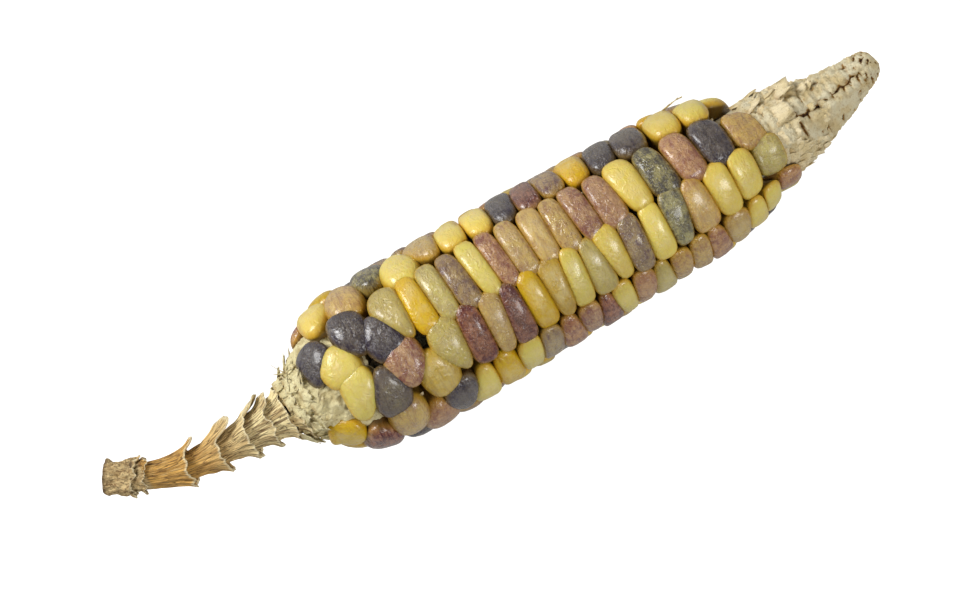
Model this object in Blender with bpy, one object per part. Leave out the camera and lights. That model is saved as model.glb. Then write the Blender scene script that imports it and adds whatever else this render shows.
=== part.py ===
"""Dried eight-row flint corn cob, lying on its lowest two rows of kernels. Metres, +Z up, tip of the ear towards +X.

Lengths below are in millimetres and turns in degrees. A place on the ear is given by x along its axis
and by a turn round the axis, which is 0 at the top (+Z) and grows towards +Y.
"""

import math
import random

import bmesh
import bpy
from mathutils import Matrix, Vector

MM = 0.001
SEED = 2

# Ear: the outline of the kernels' crowns
EAR_MIDDLE = 3.0
EAR_HALF_LENGTH = 53.0
EAR_SQUARENESS = 8  # how suddenly the outline closes at its two ends
EAR_MOST_REACH = 0.98  # the outline stays open this far out, so that it never closes to a point
THICKEST_X = -28.0
THICKEST_RADIUS = 17.5
TAPER = 0.027  # radius lost for each millimetre towards the tip

# Kernels
ROWS = {  # turn of the row: (first kernel, last kernel, number of kernels, skew). Rows stand in pairs.
    21.0: (-45.0, 50.5, 20, -0.18),
    71.0: (-40.5, 43.5, 15, 0.0),
    111.0: (-43.0, 47.5, 18, 0.05),
    161.0: (-42.0, 49.0, 19, 0.0),
    201.0: (-44.0, 50.5, 19, 0.1),
    251.0: (-45.0, 53.0, 20, 0.1),
    291.0: (-46.0, 54.0, 22, 0.19),
    341.0: (-39.5, 52.0, 20, -0.03),
}  # a row with more skew has thicker kernels at its butt
PITCH_SPREAD = 0.12  # kernels are this much thicker at both ends of a row, and thinner in its middle
PITCH_JITTER = 0.12
BUTT_KERNELS = 5  # kernels at the thick end that crowd to and fro out of line
BUTT_SHIFT = 3.0
ROW_WANDER = 0.35  # how far any kernel may sit off its row's line
ROLLED_RADIUS = 16.0  # turns are measured as arcs at this radius when kernels are set side by side
KERNEL_ROUNDNESS = 5  # power of the rounded outline: higher is squarer
KERNEL_REACH = 15.0  # neighbours nearer than this press on a kernel
KERNEL_MOST_ARC = 6.9  # a kernel's half width where nothing beside it presses
ROW_END_ROOM = 3.3  # half thickness of a row's end kernels on their free side
ROW_GAP = 0.34  # between the kernels of neighbouring rows
ROW_BITE = 1.0  # below their crowns, kernels of one row bite this far into each other
CROWN_DROP = 2.7  # from the top of the crown down to the widest section
CROWN_SHARE = 0.6  # the crown takes at most this share of a low kernel's height
CROWN_FULLNESS = 2.4  # power of the crown's plan: higher keeps it wide nearer to its top
CROWN_FLATNESS = 1.6  # power of the crown's drop: higher keeps its top flatter
CROWN_SLOPE = 0.6  # how much of the ear's outline one crown follows
CROWN_UNEVENNESS = 0.15
LEAST_HEIGHT = 2.4
ROOT_NARROWING = 0.3
ROOT_LEVEL = 0.7  # the ball below this level is pressed flat into the root's underside
ROOT_UNEVENNESS = 0.2
KERNEL_SIDES = 8
KERNEL_RINGS = 4
KERNEL_SLIMNESS = 0.5  # sides crowd towards a kernel's long ends, where its corners are
LEAN = 5.0  # how far the crowns of the end kernels lean outwards
LEAN_POWER = 5

# Cob
COB_RADIUS = 7.9
ROOT_RADIUS = 8.4  # where the kernels' roots end, just clear of the cob
COB_PROFILE = (  # x, radius
    (-50.0, 5.6),
    (-49.0, 7.0),
    (-46.0, 8.4),
    (-42.0, 8.3),
    (-36.0, COB_RADIUS),
    (44.0, COB_RADIUS),
    (50.0, 8.1),
    (57.0, 8.0),
    (62.0, 6.9),
    (67.0, 5.5),
    (72.0, 4.6),
    (77.0, 3.7),
    (79.6, 3.1),
    (80.4, 1.9),
)
COB_SIDES = 16
SCALE_SIDES = 6
SCALE_RINGS = 4
SCALE_PITCH = 4.9
SCALE_LENGTH = 0.53  # half length, as a share of the pitch
SCALE_RISE = 1.3
SCALE_TILT = 0.35  # how much more a scale rises towards the tip
SCALE_WANDER = 3.0  # degrees
SCALE_WIDTH = 1.02  # share of a row's width that a scale covers
SHY_SCALE_WIDTH = 0.78  # the same beside the last kernels, which it stays clear of
SHY_SCALE_X = 61.0
FIRST_SCALE = 6.8  # from a row's last kernel to its first empty scale
SCALES_END = 78.5
BUTT_SCALE = 5.8  # from a row's first kernel back to the scale at its butt
BUTT_SCALE_LENGTH = 2.0
BUTT_SCALE_WIDTH = 0.55

# Curve of the whole thing
SHANK_BEND_X = -70.0
SHANK_BEND = 0.0145
SHANK_DROOP_X = -50.0
SHANK_DROOP = 0.0018
TIP_BEND_X = 58.0
TIP_BEND = 0.0068

# Shank: each internode is (start x, start radius, edge x, edge radius, flap length, flap turn)
INTERNODES = (
    (-91.4, 3.3, -85.9, 4.0, 0.8, 100.0),
    (-86.8, 2.9, -84.2, 3.7, 0.7, 60.0),
    (-85.2, 2.7, -75.6, 4.2, 2.6, 80.0),
    (-77.6, 2.6, -68.6, 4.5, 4.0, 75.0),
    (-70.4, 2.8, -62.2, 4.9, 4.4, 85.0),
    (-64.0, 3.3, -57.6, 5.1, 1.6, 60.0),
    (-59.2, 3.9, -54.0, 5.7, 1.2, 95.0),
    (-55.4, 4.6, -51.4, 6.9, 0.8, 250.0),
)
STEM_SECTIONS = ((0.0, 0.0), (0.55, 0.25))  # share of the internode's length, and of its widening
SHANK_END = ((-53.6, 5.0), (-50.3, 5.0))  # x, radius: the core inside the last sheath, up to the cob
SHANK_SIDES = 16
SHEATH_WALL = 0.7
FLAP_WIDTH = 32.0  # degrees
FLAP_FLARE = 0.22  # a flap's tip stands out by this share of its length
TEAR = 0.55  # how far the torn edges wander

# Rest
FLAT_CUT = 0.3  # the lowest crown is cut level by this much

SHARP_ANGLE = 50.0
KERNEL_COLOURS = {
    "cream": (0.80, 0.68, 0.30),
    "tan": (0.58, 0.42, 0.22),
    "salmon": (0.52, 0.27, 0.18),
    "mauve": (0.34, 0.25, 0.20),
    "golden": (0.80, 0.46, 0.03),
    "maroon": (0.28, 0.09, 0.08),
    "slate": (0.10, 0.09, 0.10),
}
COLOUR_SHARES = (30, 16, 18, 14, 9, 8, 8)
COB_COLOUR = (0.74, 0.60, 0.38)
SHANK_COLOUR = (0.46, 0.29, 0.12)


def clear_scene():
    for obj in list(bpy.data.objects):
        bpy.data.objects.remove(obj)


def material(name, colour, roughness):
    made = bpy.data.materials.new(name)
    made.use_nodes = True
    shader = made.node_tree.nodes["Principled BSDF"]
    shader.inputs["Base Color"].default_value = (*colour, 1.0)
    shader.inputs["Roughness"].default_value = roughness
    shader.inputs["Metallic"].default_value = 0.0
    return made


def axis_at(x):
    """Centre of the section at x. The shank and the bare tip curve towards +Y, and the shank droops."""
    y = z = 0.0
    if x < SHANK_BEND_X:
        y = SHANK_BEND * (SHANK_BEND_X - x) ** 2
    if x < SHANK_DROOP_X:
        z = -SHANK_DROOP * (SHANK_DROOP_X - x) ** 2
    if x > TIP_BEND_X:
        y = TIP_BEND * (x - TIP_BEND_X) ** 2
    # The tapered ear lies level, so its axis sinks towards the tip.
    return Vector((x, y, z - TAPER * x))


def place(x, turn, radius):
    """The point, in metres, at this distance from the curved axis."""
    along = (axis_at(x + 0.5) - axis_at(x - 0.5)).normalized()
    side = (Vector((0, 1, 0)) - along * along.y).normalized()
    up = along.cross(side)
    angle = math.radians(turn)
    return (axis_at(x) + side * radius * math.sin(angle) + up * radius * math.cos(angle)) * MM


def ear_radius(x):
    reach = min(abs(x - EAR_MIDDLE) / EAR_HALF_LENGTH, EAR_MOST_REACH)
    straight = THICKEST_RADIUS - TAPER * (x - THICKEST_X)
    return straight * math.sqrt(1 - reach**EAR_SQUARENESS)


def arc(turn):
    return math.radians(turn) * ROLLED_RADIUS


def turn_of(arc_length):
    return math.degrees(arc_length / ROLLED_RADIUS)


def lay_out_kernels():
    """Each row's kernels as (x, arc). Rows run straight, and crowd out of line at the thick end."""
    rows = []
    for turn, (first, last, count, skew) in ROWS.items():
        dice = random.Random(SEED + int(turn))
        pitch = (last - first) / (count - 1)
        row = []
        for number in range(count):
            share = number / (count - 1)
            spread = share + skew * share * (1 - share)
            spread += PITCH_SPREAD * math.sin(2 * math.pi * share) / (2 * math.pi)
            x = first + (last - first) * spread + pitch * PITCH_JITTER * dice.uniform(-1, 1)
            crowding = math.sin(math.pi * min(1.0, (number + 0.5) / BUTT_KERNELS))
            side = -1 if number % 2 else 1
            shift = side * BUTT_SHIFT * crowding * dice.uniform(0.5, 1.1) + ROW_WANDER * dice.uniform(-1, 1)
            row.append((x, arc(turn) + shift))
        rows.append(row)
    return rows


def pressures(rows, row_number, number, bite):
    """What presses on a kernel along its row, and from beside it: each way to a neighbour over the room up to it."""
    x, here = rows[row_number][number]
    girth = 2 * math.pi * ROLLED_RADIUS
    along = []
    beside = [Vector((0, 1 / KERNEL_MOST_ARC)), Vector((0, -1 / KERNEL_MOST_ARC))]
    for other_row, row in enumerate(rows):
        for other, (other_x, other_arc) in enumerate(row):
            across = (other_arc - here + girth / 2) % girth - girth / 2
            way = Vector((other_x - x, across))
            if not 0 < way.length < KERNEL_REACH:
                continue
            if other_row != row_number:
                beside.append(way.normalized() / (way.length / 2 - ROW_GAP / 2))
            elif abs(other - number) == 1:
                along.append(way.normalized() / (way.length / 2 + bite))
    if number == 0:
        along.append(Vector((-1 / ROW_END_ROOM, 0)))
    if number == len(rows[row_number]) - 1:
        along.append(Vector((1 / ROW_END_ROOM, 0)))
    return along, beside


def room_towards(direction, pressed):
    """How far a kernel swells in a direction before its neighbours stop it, with rounded corners."""
    total = 0.0
    for group in pressed:
        total += max(0.0, *(direction.dot(press) for press in group)) ** KERNEL_ROUNDNESS
    return total ** (-1 / KERNEL_ROUNDNESS)


def kernel_mesh(x, arc_length, crown_pressed, root_pressed, height, root):
    """A ball drawn out into a kernel: a domed crown, its widest section below that, and a narrower root."""
    shape = bmesh.new()
    bmesh.ops.create_uvsphere(shape, u_segments=KERNEL_SIDES, v_segments=KERNEL_RINGS, radius=1)
    half_side = Matrix.Rotation(math.pi / KERNEL_SIDES, 3, "Z")
    bmesh.ops.transform(shape, matrix=half_side, verts=shape.verts)
    lean = LEAN * ((x - EAR_MIDDLE) / EAR_HALF_LENGTH) ** LEAN_POWER
    for vertex in shape.verts:
        level = vertex.co.z
        in_crown = level > 0.01
        flat = Vector((0, 0))
        if abs(level) < 0.99:
            way = Vector((vertex.co.x * KERNEL_SLIMNESS, vertex.co.y)).normalized()
            flat = way * room_towards(way, crown_pressed if in_crown else root_pressed)
        width = max(0.0, 1 - level**CROWN_FULLNESS) ** 0.5 if in_crown else 1 + ROOT_NARROWING * level
        depth = 0.0 if in_crown else min(1.0, -level / ROOT_LEVEL)
        here = x + flat.x * (width if in_crown else 1.0)
        tall = ear_radius(x + CROWN_SLOPE * (here - x)) + height - ROOT_RADIUS
        tall = max(tall, LEAST_HEIGHT)
        drop = min(CROWN_DROP, CROWN_SHARE * tall) * (1 - max(level, 0.0)) ** CROWN_FLATNESS
        turn = turn_of(arc_length + flat.y * width)
        vertex.co = place(here - lean * depth, turn, root + (tall - drop) * (1 - depth))
    mesh = bpy.data.meshes.new("kernel")
    shape.to_mesh(mesh)
    shape.free()
    return mesh


def keep_main_body(mesh):
    """Fills the hollows that fusing sealed, and drops loose scraps: only the largest closed skin stays."""
    shape = bmesh.new()
    shape.from_mesh(mesh)
    unseen = set(shape.verts)
    main = set()
    while unseen:
        skin = {unseen.pop()}
        edge_of_skin = list(skin)
        while edge_of_skin:
            for edge in edge_of_skin.pop().link_edges:
                fresh = unseen.intersection(edge.verts)
                unseen -= fresh
                skin |= fresh
                edge_of_skin.extend(fresh)
        main = max(main, skin, key=len)
    bmesh.ops.delete(shape, geom=[vertex for vertex in shape.verts if vertex not in main], context="VERTS")
    shape.to_mesh(mesh)
    shape.free()


def fuse(name, base, others):
    """One solid from a base object and a list of objects, by one Boolean union. The others are removed."""
    joined = bpy.data.collections.new("joined")
    bpy.context.scene.collection.children.link(joined)
    for obj in others:
        joined.objects.link(obj)
    union = base.modifiers.new("union", "BOOLEAN")
    union.operation = "UNION"
    union.operand_type = "COLLECTION"
    union.collection = joined
    union.solver = "MANIFOLD"
    union.material_mode = "TRANSFER"
    graph = bpy.context.evaluated_depsgraph_get()
    mesh = bpy.data.meshes.new_from_object(base.evaluated_get(graph))
    mesh.name = name
    keep_main_body(mesh)
    for obj in [base, *others]:
        bpy.data.objects.remove(obj)
    bpy.data.collections.remove(joined)
    made = bpy.data.objects.new(name, mesh)
    bpy.data.collections["corn_cob"].objects.link(made)
    return made


def smooth(obj, angle):
    obj.data.shade_smooth()
    obj.data.set_sharp_from_angle(angle=math.radians(angle))


def build_kernel_rows():
    rows = lay_out_kernels()
    finishes = [material("kernel_" + name, colour, 0.35) for name, colour in KERNEL_COLOURS.items()]
    made = []
    for row_number, row in enumerate(rows):
        dice = random.Random(SEED * 100 + row_number)
        kernels = []
        for number, (x, arc_length) in enumerate(row):
            crown_pressed = pressures(rows, row_number, number, 0.0)
            root_pressed = pressures(rows, row_number, number, ROW_BITE)
            height = CROWN_UNEVENNESS * dice.uniform(-1, 1)
            root = ROOT_RADIUS + ROOT_UNEVENNESS * dice.uniform(0, 1)
            mesh = kernel_mesh(x, arc_length, crown_pressed, root_pressed, height, root)
            mesh.materials.append(dice.choices(finishes, COLOUR_SHARES)[0])
            kernels.append(bpy.data.objects.new("kernel", mesh))
        base = kernels.pop(0)
        bpy.context.scene.collection.objects.link(base)
        made.append(fuse(f"kernel_row_{row_number + 1}", base, kernels))
    return made


def loft(name, rings):
    """A closed skin through rings of equal numbers of points, with a flat face over each end ring."""
    shape = bmesh.new()
    rows = [[shape.verts.new(point) for point in ring] for ring in rings]
    sides = len(rows[0])
    for near, far in zip(rows, rows[1:]):
        for side in range(sides):
            after = (side + 1) % sides
            shape.faces.new((near[side], near[after], far[after], far[side]))
    shape.faces.new(list(reversed(rows[0])))
    shape.faces.new(rows[-1])
    bmesh.ops.recalc_face_normals(shape, faces=shape.faces)
    mesh = bpy.data.meshes.new(name)
    shape.to_mesh(mesh)
    shape.free()
    return bpy.data.objects.new(name, mesh)


def cob_radius(x):
    for (x0, r0), (x1, r1) in zip(COB_PROFILE, COB_PROFILE[1:]):
        if x <= x1:
            return r0 + (r1 - r0) * max(0.0, x - x0) / (x1 - x0)
    return COB_PROFILE[-1][1]


def empty_scale(x, turn, length, width):
    """A chaffy scale where no kernel grew: a low dome whose lower half is sunk in the cob."""
    shape = bmesh.new()
    bmesh.ops.create_uvsphere(shape, u_segments=SCALE_SIDES, v_segments=SCALE_RINGS, radius=1)
    radius = cob_radius(x)
    for vertex in shape.verts:
        flat = vertex.co.xy
        lift = SCALE_RISE * vertex.co.z * (1 + SCALE_TILT * flat.x)
        here = turn + math.degrees(flat.y * width / radius)
        vertex.co = place(x + flat.x * length, here, cob_radius(x + 0.7 * flat.x * length) + lift)
    mesh = bpy.data.meshes.new("scale")
    shape.to_mesh(mesh)
    shape.free()
    return bpy.data.objects.new("scale", mesh)


def build_cob():
    rings = []
    for x, radius in COB_PROFILE:
        rings.append([place(x, 360 * side / COB_SIDES, radius) for side in range(COB_SIDES)])
    core = loft("cob_core", rings)
    bpy.context.scene.collection.objects.link(core)
    dice = random.Random(SEED)
    scales = []
    for turn, (first, last, *_) in ROWS.items():
        x = last + FIRST_SCALE
        while x < SCALES_END:
            room = math.pi * cob_radius(x) / len(ROWS)
            width = room * (SHY_SCALE_WIDTH if x < SHY_SCALE_X else SCALE_WIDTH)
            here = turn + SCALE_WANDER * dice.uniform(-1, 1)
            scales.append(empty_scale(x, here, SCALE_PITCH * SCALE_LENGTH, width))
            x += SCALE_PITCH * dice.uniform(0.9, 1.1) * (0.55 + cob_radius(x) / 16)
        x = first - BUTT_SCALE
        if x > COB_PROFILE[1][0]:
            room = math.pi * cob_radius(x) / len(ROWS)
            scales.append(empty_scale(x, turn, BUTT_SCALE_LENGTH, room * BUTT_SCALE_WIDTH))
    return fuse("cob", core, scales)


def torn(turn, number, amount):
    """How far a torn edge stands out at this turn: a few waves of different lengths."""
    angle = math.radians(turn)
    return amount * (math.sin(3 * angle + number * 1.7) + 0.6 * math.sin(7 * angle + number * 2.9))


def flap_share(turn, flap_turn):
    off = (turn - flap_turn + 180) % 360 - 180
    return math.exp(-((off / FLAP_WIDTH) ** 2))


def build_shank():
    """The stem of the ear: internodes that widen into torn husk sheaths, each open towards the ear."""
    turns = [360 * side / SHANK_SIDES for side in range(SHANK_SIDES)]
    rings = []
    for number, (start, radius, edge, edge_radius, flap, flap_turn) in enumerate(INTERNODES):
        for share, flare in STEM_SECTIONS:
            x = start + (edge - start) * share
            here = radius + (edge_radius - radius) * flare
            rings.append([place(x, turn, here) for turn in turns])
        outer, inner = [], []
        for turn in turns:
            reach = flap_share(turn, flap_turn)
            x = edge + flap * reach + torn(turn, number, TEAR)
            rim = edge_radius + FLAP_FLARE * flap * reach
            outer.append(place(x, turn, rim))
            inner.append(place(x - 0.1, turn, rim - SHEATH_WALL))
        rings += [outer, inner]
    for x, radius in SHANK_END:
        rings.append([place(x, turn, radius) for turn in turns])
    shank = loft("shank", rings)
    bpy.data.collections["corn_cob"].objects.link(shank)
    return shank


def lowest_point(objects):
    return min(vertex.co.z for obj in objects for vertex in obj.data.vertices)


def flatten_underside(objects, height):
    """Cuts the lowest crowns level, so that the ear lies on small flats."""
    bpy.ops.mesh.primitive_cube_add(size=1)
    floor = bpy.context.object
    floor.name = "floor_cutter"
    floor.scale = (0.3, 0.3, 0.02)
    floor.location.z = height - 0.01
    floor.hide_render = True
    floor.display_type = "WIRE"
    bpy.context.view_layer.update()
    for obj in objects:
        if lowest_point([obj]) > height:
            continue
        cut = obj.modifiers.new("flat", "BOOLEAN")
        cut.operation = "DIFFERENCE"
        cut.object = floor
        graph = bpy.context.evaluated_depsgraph_get()
        mesh = bpy.data.meshes.new_from_object(obj.evaluated_get(graph))
        obj.modifiers.clear()
        obj.data = mesh
    bpy.data.objects.remove(floor)


def stand_on_origin(objects):
    """Moves the meshes so that the middle of the underside of their box is the origin."""
    points = [vertex.co for obj in objects for vertex in obj.data.vertices]
    low = Vector([min(point[axis] for point in points) for axis in range(3)])
    high = Vector([max(point[axis] for point in points) for axis in range(3)])
    shift = Matrix.Translation((-(low.x + high.x) / 2, -(low.y + high.y) / 2, -low.z))
    for obj in objects:
        obj.data.transform(shift)


def main():
    clear_scene()
    bpy.context.scene.collection.children.link(bpy.data.collections.new("corn_cob"))
    rows = build_kernel_rows()
    cob = build_cob()
    cob.data.materials.append(material("dry_cob", COB_COLOUR, 0.85))
    shank = build_shank()
    shank.data.materials.append(material("dry_shank", SHANK_COLOUR, 0.75))
    flatten_underside(rows, lowest_point(rows) + FLAT_CUT * MM)
    objects = [*rows, cob, shank]
    stand_on_origin(objects)
    for obj in objects:
        smooth(obj, SHARP_ANGLE)


main()
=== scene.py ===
import math
import random

import bpy
import numpy as np
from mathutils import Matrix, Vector


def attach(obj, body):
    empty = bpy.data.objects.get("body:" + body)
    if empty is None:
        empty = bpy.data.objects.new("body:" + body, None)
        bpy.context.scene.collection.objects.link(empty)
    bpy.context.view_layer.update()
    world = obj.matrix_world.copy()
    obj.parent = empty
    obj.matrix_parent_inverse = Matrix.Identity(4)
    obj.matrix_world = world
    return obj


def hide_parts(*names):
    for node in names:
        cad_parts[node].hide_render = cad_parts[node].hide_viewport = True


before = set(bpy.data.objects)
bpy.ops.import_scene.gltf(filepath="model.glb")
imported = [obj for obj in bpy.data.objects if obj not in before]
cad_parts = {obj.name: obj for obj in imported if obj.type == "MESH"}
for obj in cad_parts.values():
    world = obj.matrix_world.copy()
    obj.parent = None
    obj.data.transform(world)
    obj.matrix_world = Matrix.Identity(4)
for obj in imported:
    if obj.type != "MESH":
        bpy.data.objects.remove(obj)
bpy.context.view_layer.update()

# Lengths in the dictionaries are in millimetres and turns in degrees, on the ear's own axis: x runs to the tip,
# and a turn is 0 at the top and grows towards +Y.
mm = 0.001
ear = {"middle": 3.0, "halfLength": 53.0, "squareness": 8.0, "mostReach": 0.98,
       "thickestX": -28.0, "thickestRadius": 17.5, "taper": 0.027}
course = {"shankBendFrom": -70.0, "shankBend": 0.0145, "shankDroopFrom": -50.0, "shankDroop": 0.0018,
          "tipBendFrom": 58.0, "tipBend": 0.0068}


def axisAt(x):  # centre of the section at x, for one x or for an array of them
    x = np.asarray(x, float)
    y = course["shankBend"] * np.clip(course["shankBendFrom"] - x, 0, None) ** 2
    y = y + course["tipBend"] * np.clip(x - course["tipBendFrom"], 0, None) ** 2
    z = -course["shankDroop"] * np.clip(course["shankDroopFrom"] - x, 0, None) ** 2 - ear["taper"] * x
    return np.stack([x, y, z], -1)


def findOrigin():  # the ear's own zero point: the axis halves the cob's flat butt
    corners = np.array([v.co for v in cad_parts["cob"].data.vertices])
    butt = corners[corners[:, 0] < corners[:, 0].min() + 0.76 * mm]
    middle = (butt[butt[:, 2].argmin()] + butt[butt[:, 2].argmax()]) / 2
    return middle - axisAt(-50.0) * mm


origin = findOrigin()
print("ear's zero point:", np.round(origin / mm, 3))


def place(x, turn, radius):  # points in metres at these distances from the curved axis
    along = axisAt(np.asarray(x) + 0.5) - axisAt(np.asarray(x) - 0.5)
    along /= np.linalg.norm(along, axis=-1, keepdims=True)
    side = np.array([0.0, 1.0, 0.0]) - along * along[..., 1:2]
    side /= np.linalg.norm(side, axis=-1, keepdims=True)
    up = np.cross(along, side)
    angle = np.radians(turn)[..., None]
    radius = np.asarray(radius, float)[..., None]
    return (axisAt(x) + side * radius * np.sin(angle) + up * radius * np.cos(angle)) * mm + origin


def fromScreen(*levels):  # a colour as it looks on a screen, in the linear values that shaders take
    return tuple((v / 255 / 12.92 if v < 10 else ((v / 255 + 0.055) / 1.055) ** 2.4) for v in levels)


# small helpers for node trees

class Value:  # a socket of a node tree that takes plain arithmetic
    def __init__(self, tree, socket):
        self.tree, self.socket = tree, socket

    def atLeast(self, other):
        return calc(self.tree, "MAXIMUM", self, other)

    def atMost(self, other):
        return calc(self.tree, "MINIMUM", self, other)

    def __abs__(self):
        return calc(self.tree, "ABSOLUTE", self)


operations = {"add": "ADD", "sub": "SUBTRACT", "mul": "MULTIPLY", "truediv": "DIVIDE", "pow": "POWER"}
for sign, operation in operations.items():
    setattr(Value, f"__{sign}__", lambda a, b, name=operation: calc(a.tree, name, a, b))
    setattr(Value, f"__r{sign}__", lambda a, b, name=operation: calc(a.tree, name, b, a))


def join(tree, value, socket):  # links a value to the socket, or sets a plain number, vector or name
    if isinstance(value, Value):
        value = value.socket
    if isinstance(value, bpy.types.NodeSocket):
        tree.links.new(value, socket)
    elif value is not None:
        socket.default_value = value


def addNode(tree, kind, inputs=None, **settings):
    node = tree.nodes.new(kind)
    for name, value in settings.items():
        setattr(node, name, value)
    for name, value in (inputs or {}).items():
        join(tree, value, node.inputs[name])
    return node


def addValue(tree, kind, inputs=None, output=0, **settings):  # adds a node, and returns one of its outputs
    return Value(tree, addNode(tree, kind, inputs, **settings).outputs[output])


def calc(tree, operation, *values, clamp=False):
    return addValue(tree, "ShaderNodeMath", dict(enumerate(values)), operation=operation, use_clamp=clamp)


def calcVector(tree, operation, a, b=None, scale=None):
    output = "Value" if operation in ("DOT_PRODUCT", "LENGTH") else "Vector"
    return addValue(tree, "ShaderNodeVectorMath", {0: a, 1: b, 3: scale}, output, operation=operation)


def splitVector(tree, vector):
    return [Value(tree, part) for part in addNode(tree, "ShaderNodeSeparateXYZ", {0: vector}).outputs]


def makeVector(tree, *parts):
    return addValue(tree, "ShaderNodeCombineXYZ", dict(enumerate(parts)))


def namedValues(tree, sockets):
    return {socket.name: Value(tree, socket) for socket in sockets if socket.name}


def newGeometryTree(name, sizes):  # a tree with a geometry in and out, and one named input for each size
    tree = bpy.data.node_groups.new(name, "GeometryNodeTree")
    tree.interface.new_socket(name="Geometry", in_out="INPUT", socket_type="NodeSocketGeometry")
    tree.interface.new_socket(name="Geometry", in_out="OUTPUT", socket_type="NodeSocketGeometry")
    for sizeName, value in sizes.items():
        kind = "NodeSocketInt" if isinstance(value, int) else "NodeSocketFloat"
        tree.interface.new_socket(name=sizeName, in_out="INPUT", socket_type=kind).default_value = value
    given = namedValues(tree, tree.nodes.new("NodeGroupInput").outputs)
    return tree, given, tree.nodes.new("NodeGroupOutput").inputs["Geometry"]


def readNamed(tree, name, kind="FLOAT"):
    node = addNode(tree, "GeometryNodeInputNamedAttribute", {"Name": name}, data_type=kind)
    return Value(tree, next(s for s in node.outputs if s.enabled and s.name == "Attribute"))


def storeNamed(tree, geometry, name, value, kind="FLOAT"):
    node = addNode(tree, "GeometryNodeStoreNamedAttribute", {"Geometry": geometry, "Name": name},
                   data_type=kind, domain="POINT")
    join(tree, value, next(s for s in node.inputs if s.enabled and s.name == "Value"))
    return node.outputs["Geometry"]


def runTree(obj, tree, sizes):  # runs the tree, and keeps its result as a plain mesh
    modifier = obj.modifiers.new("shape", "NODES")
    modifier.node_group = tree
    for item in tree.interface.items_tree:
        if item.item_type == "SOCKET" and item.in_out == "INPUT" and item.name in sizes:
            modifier[item.identifier] = sizes[item.name]
    graph = bpy.context.evaluated_depsgraph_get()
    shape = obj.evaluated_get(graph)
    mesh = bpy.data.meshes.new_from_object(shape, preserve_all_data_layers=True, depsgraph=graph)
    obj.modifiers.clear()
    old = obj.data
    obj.data = mesh
    bpy.data.meshes.remove(old)
    mesh.shade_smooth()
    return obj


def newPiece(name, points, faces=(), attributes=None):
    mesh = bpy.data.meshes.new(name)
    mesh.from_pydata([tuple(p) for p in points], [], [tuple(f) for f in faces])
    fields = {"FLOAT": "value", "FLOAT_VECTOR": "vector", "FLOAT_COLOR": "color"}
    for attribute, (kind, values) in (attributes or {}).items():
        layer = mesh.attributes.new(attribute, kind, "POINT")
        layer.data.foreach_set(fields[kind], np.asarray(values, np.float32).ravel())
    obj = bpy.data.objects.new(name, mesh)
    bpy.context.scene.collection.objects.link(obj)
    return obj


def newSkinnedPiece(name, points, faces, attributes, material):
    piece = newPiece(name, points, faces, attributes)
    piece.data.shade_smooth()
    piece.data.materials.append(material)
    print(f"{name}: faces", len(faces))
    return piece


def settle(piece, node):
    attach(piece, "root")
    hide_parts(node)


def turnsFrom(middle, turns):  # how far each turn is from the middle one, between -180 and 180
    return (turns - middle + 180) % 360 - 180


def ringFaces(near, far, count):  # the faces between two rings of corners
    for side in range(count):
        after = (side + 1) % count
        yield near + side, far + side, far + after, near + after


def wrapAround(tree, x, angle, radius):  # the place in metres on the curved ear, from an angle in radians
    shank = (course["shankBendFrom"] - x).atLeast(0.0)
    tip = (x - course["tipBendFrom"]).atLeast(0.0)
    low = (course["shankDroopFrom"] - x).atLeast(0.0)
    slopeY = tip * (2 * course["tipBend"]) - shank * (2 * course["shankBend"])
    slopeZ = calc(tree, "MULTIPLY_ADD", low, 2 * course["shankDroop"], -ear["taper"])
    axisY = tip * tip * course["tipBend"] + shank * shank * course["shankBend"]
    axisZ = x * -ear["taper"] + low * low * -course["shankDroop"]
    side = calcVector(tree, "NORMALIZE", makeVector(tree, slopeY * -1.0, 1.0, 0.0))
    up = calcVector(tree, "NORMALIZE", makeVector(tree, slopeZ * -1.0, 0.0, 1.0))
    across = radius * calc(tree, "SINE", angle)
    upward = radius * calc(tree, "COSINE", angle)
    spot = calcVector(tree, "ADD", calcVector(tree, "SCALE", side, scale=across),
                      calcVector(tree, "SCALE", up, scale=upward))
    spot = calcVector(tree, "SCALE", calcVector(tree, "ADD", spot, makeVector(tree, x, axisY, axisZ)), scale=mm)
    spotX, spotY, spotZ = splitVector(tree, calcVector(tree, "ADD", spot, tuple(origin)))
    return makeVector(tree, spotX, spotY, spotZ.atLeast(0.0))  # it rests on flats, not below the floor


# the kernels, in eight rows

kernels = {
    "rows": {  # turn of the row: (first kernel, last kernel, number of kernels, skew)
        21.0: (-45.0, 50.5, 20, -0.18),
        71.0: (-40.5, 43.5, 15, 0.0),
        111.0: (-43.0, 47.5, 18, 0.05),
        161.0: (-42.0, 49.0, 19, 0.0),
        201.0: (-44.0, 50.5, 19, 0.1),
        251.0: (-45.0, 53.0, 20, 0.1),
        291.0: (-46.0, 54.0, 22, 0.19),
        341.0: (-39.5, 52.0, 20, -0.03),
    },
    "seed": 2,
    "pitchSpread": 0.12,
    "pitchJitter": 0.12,
    "buttKernels": 5,
    "buttShift": 3.0,
    "wander": 0.35,
    "rolledRadius": 16.0,
    "reach": 15.0,
    "mostArc": 8.2,
    "endRoom": 3.3,
    "rowGap": 0.0,
    "touch": 0.06,
    "slants": {21: -0.08, 71: -0.03, 111: 0.05, 161: -0.06, 201: 0.05, 251: -0.05, 291: 0.04, 341: 0.03},
    "slantSpread": 0.04,
    "slantRoom": 0.52,  # kernels that stand aslant to the row spread this much further
    "beside": 10,  # how many neighbours of other rows may press on one kernel
    "unevenness": 0.15,
    "tilt": 0.06,
    "colourSeed": 1,
}
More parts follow.
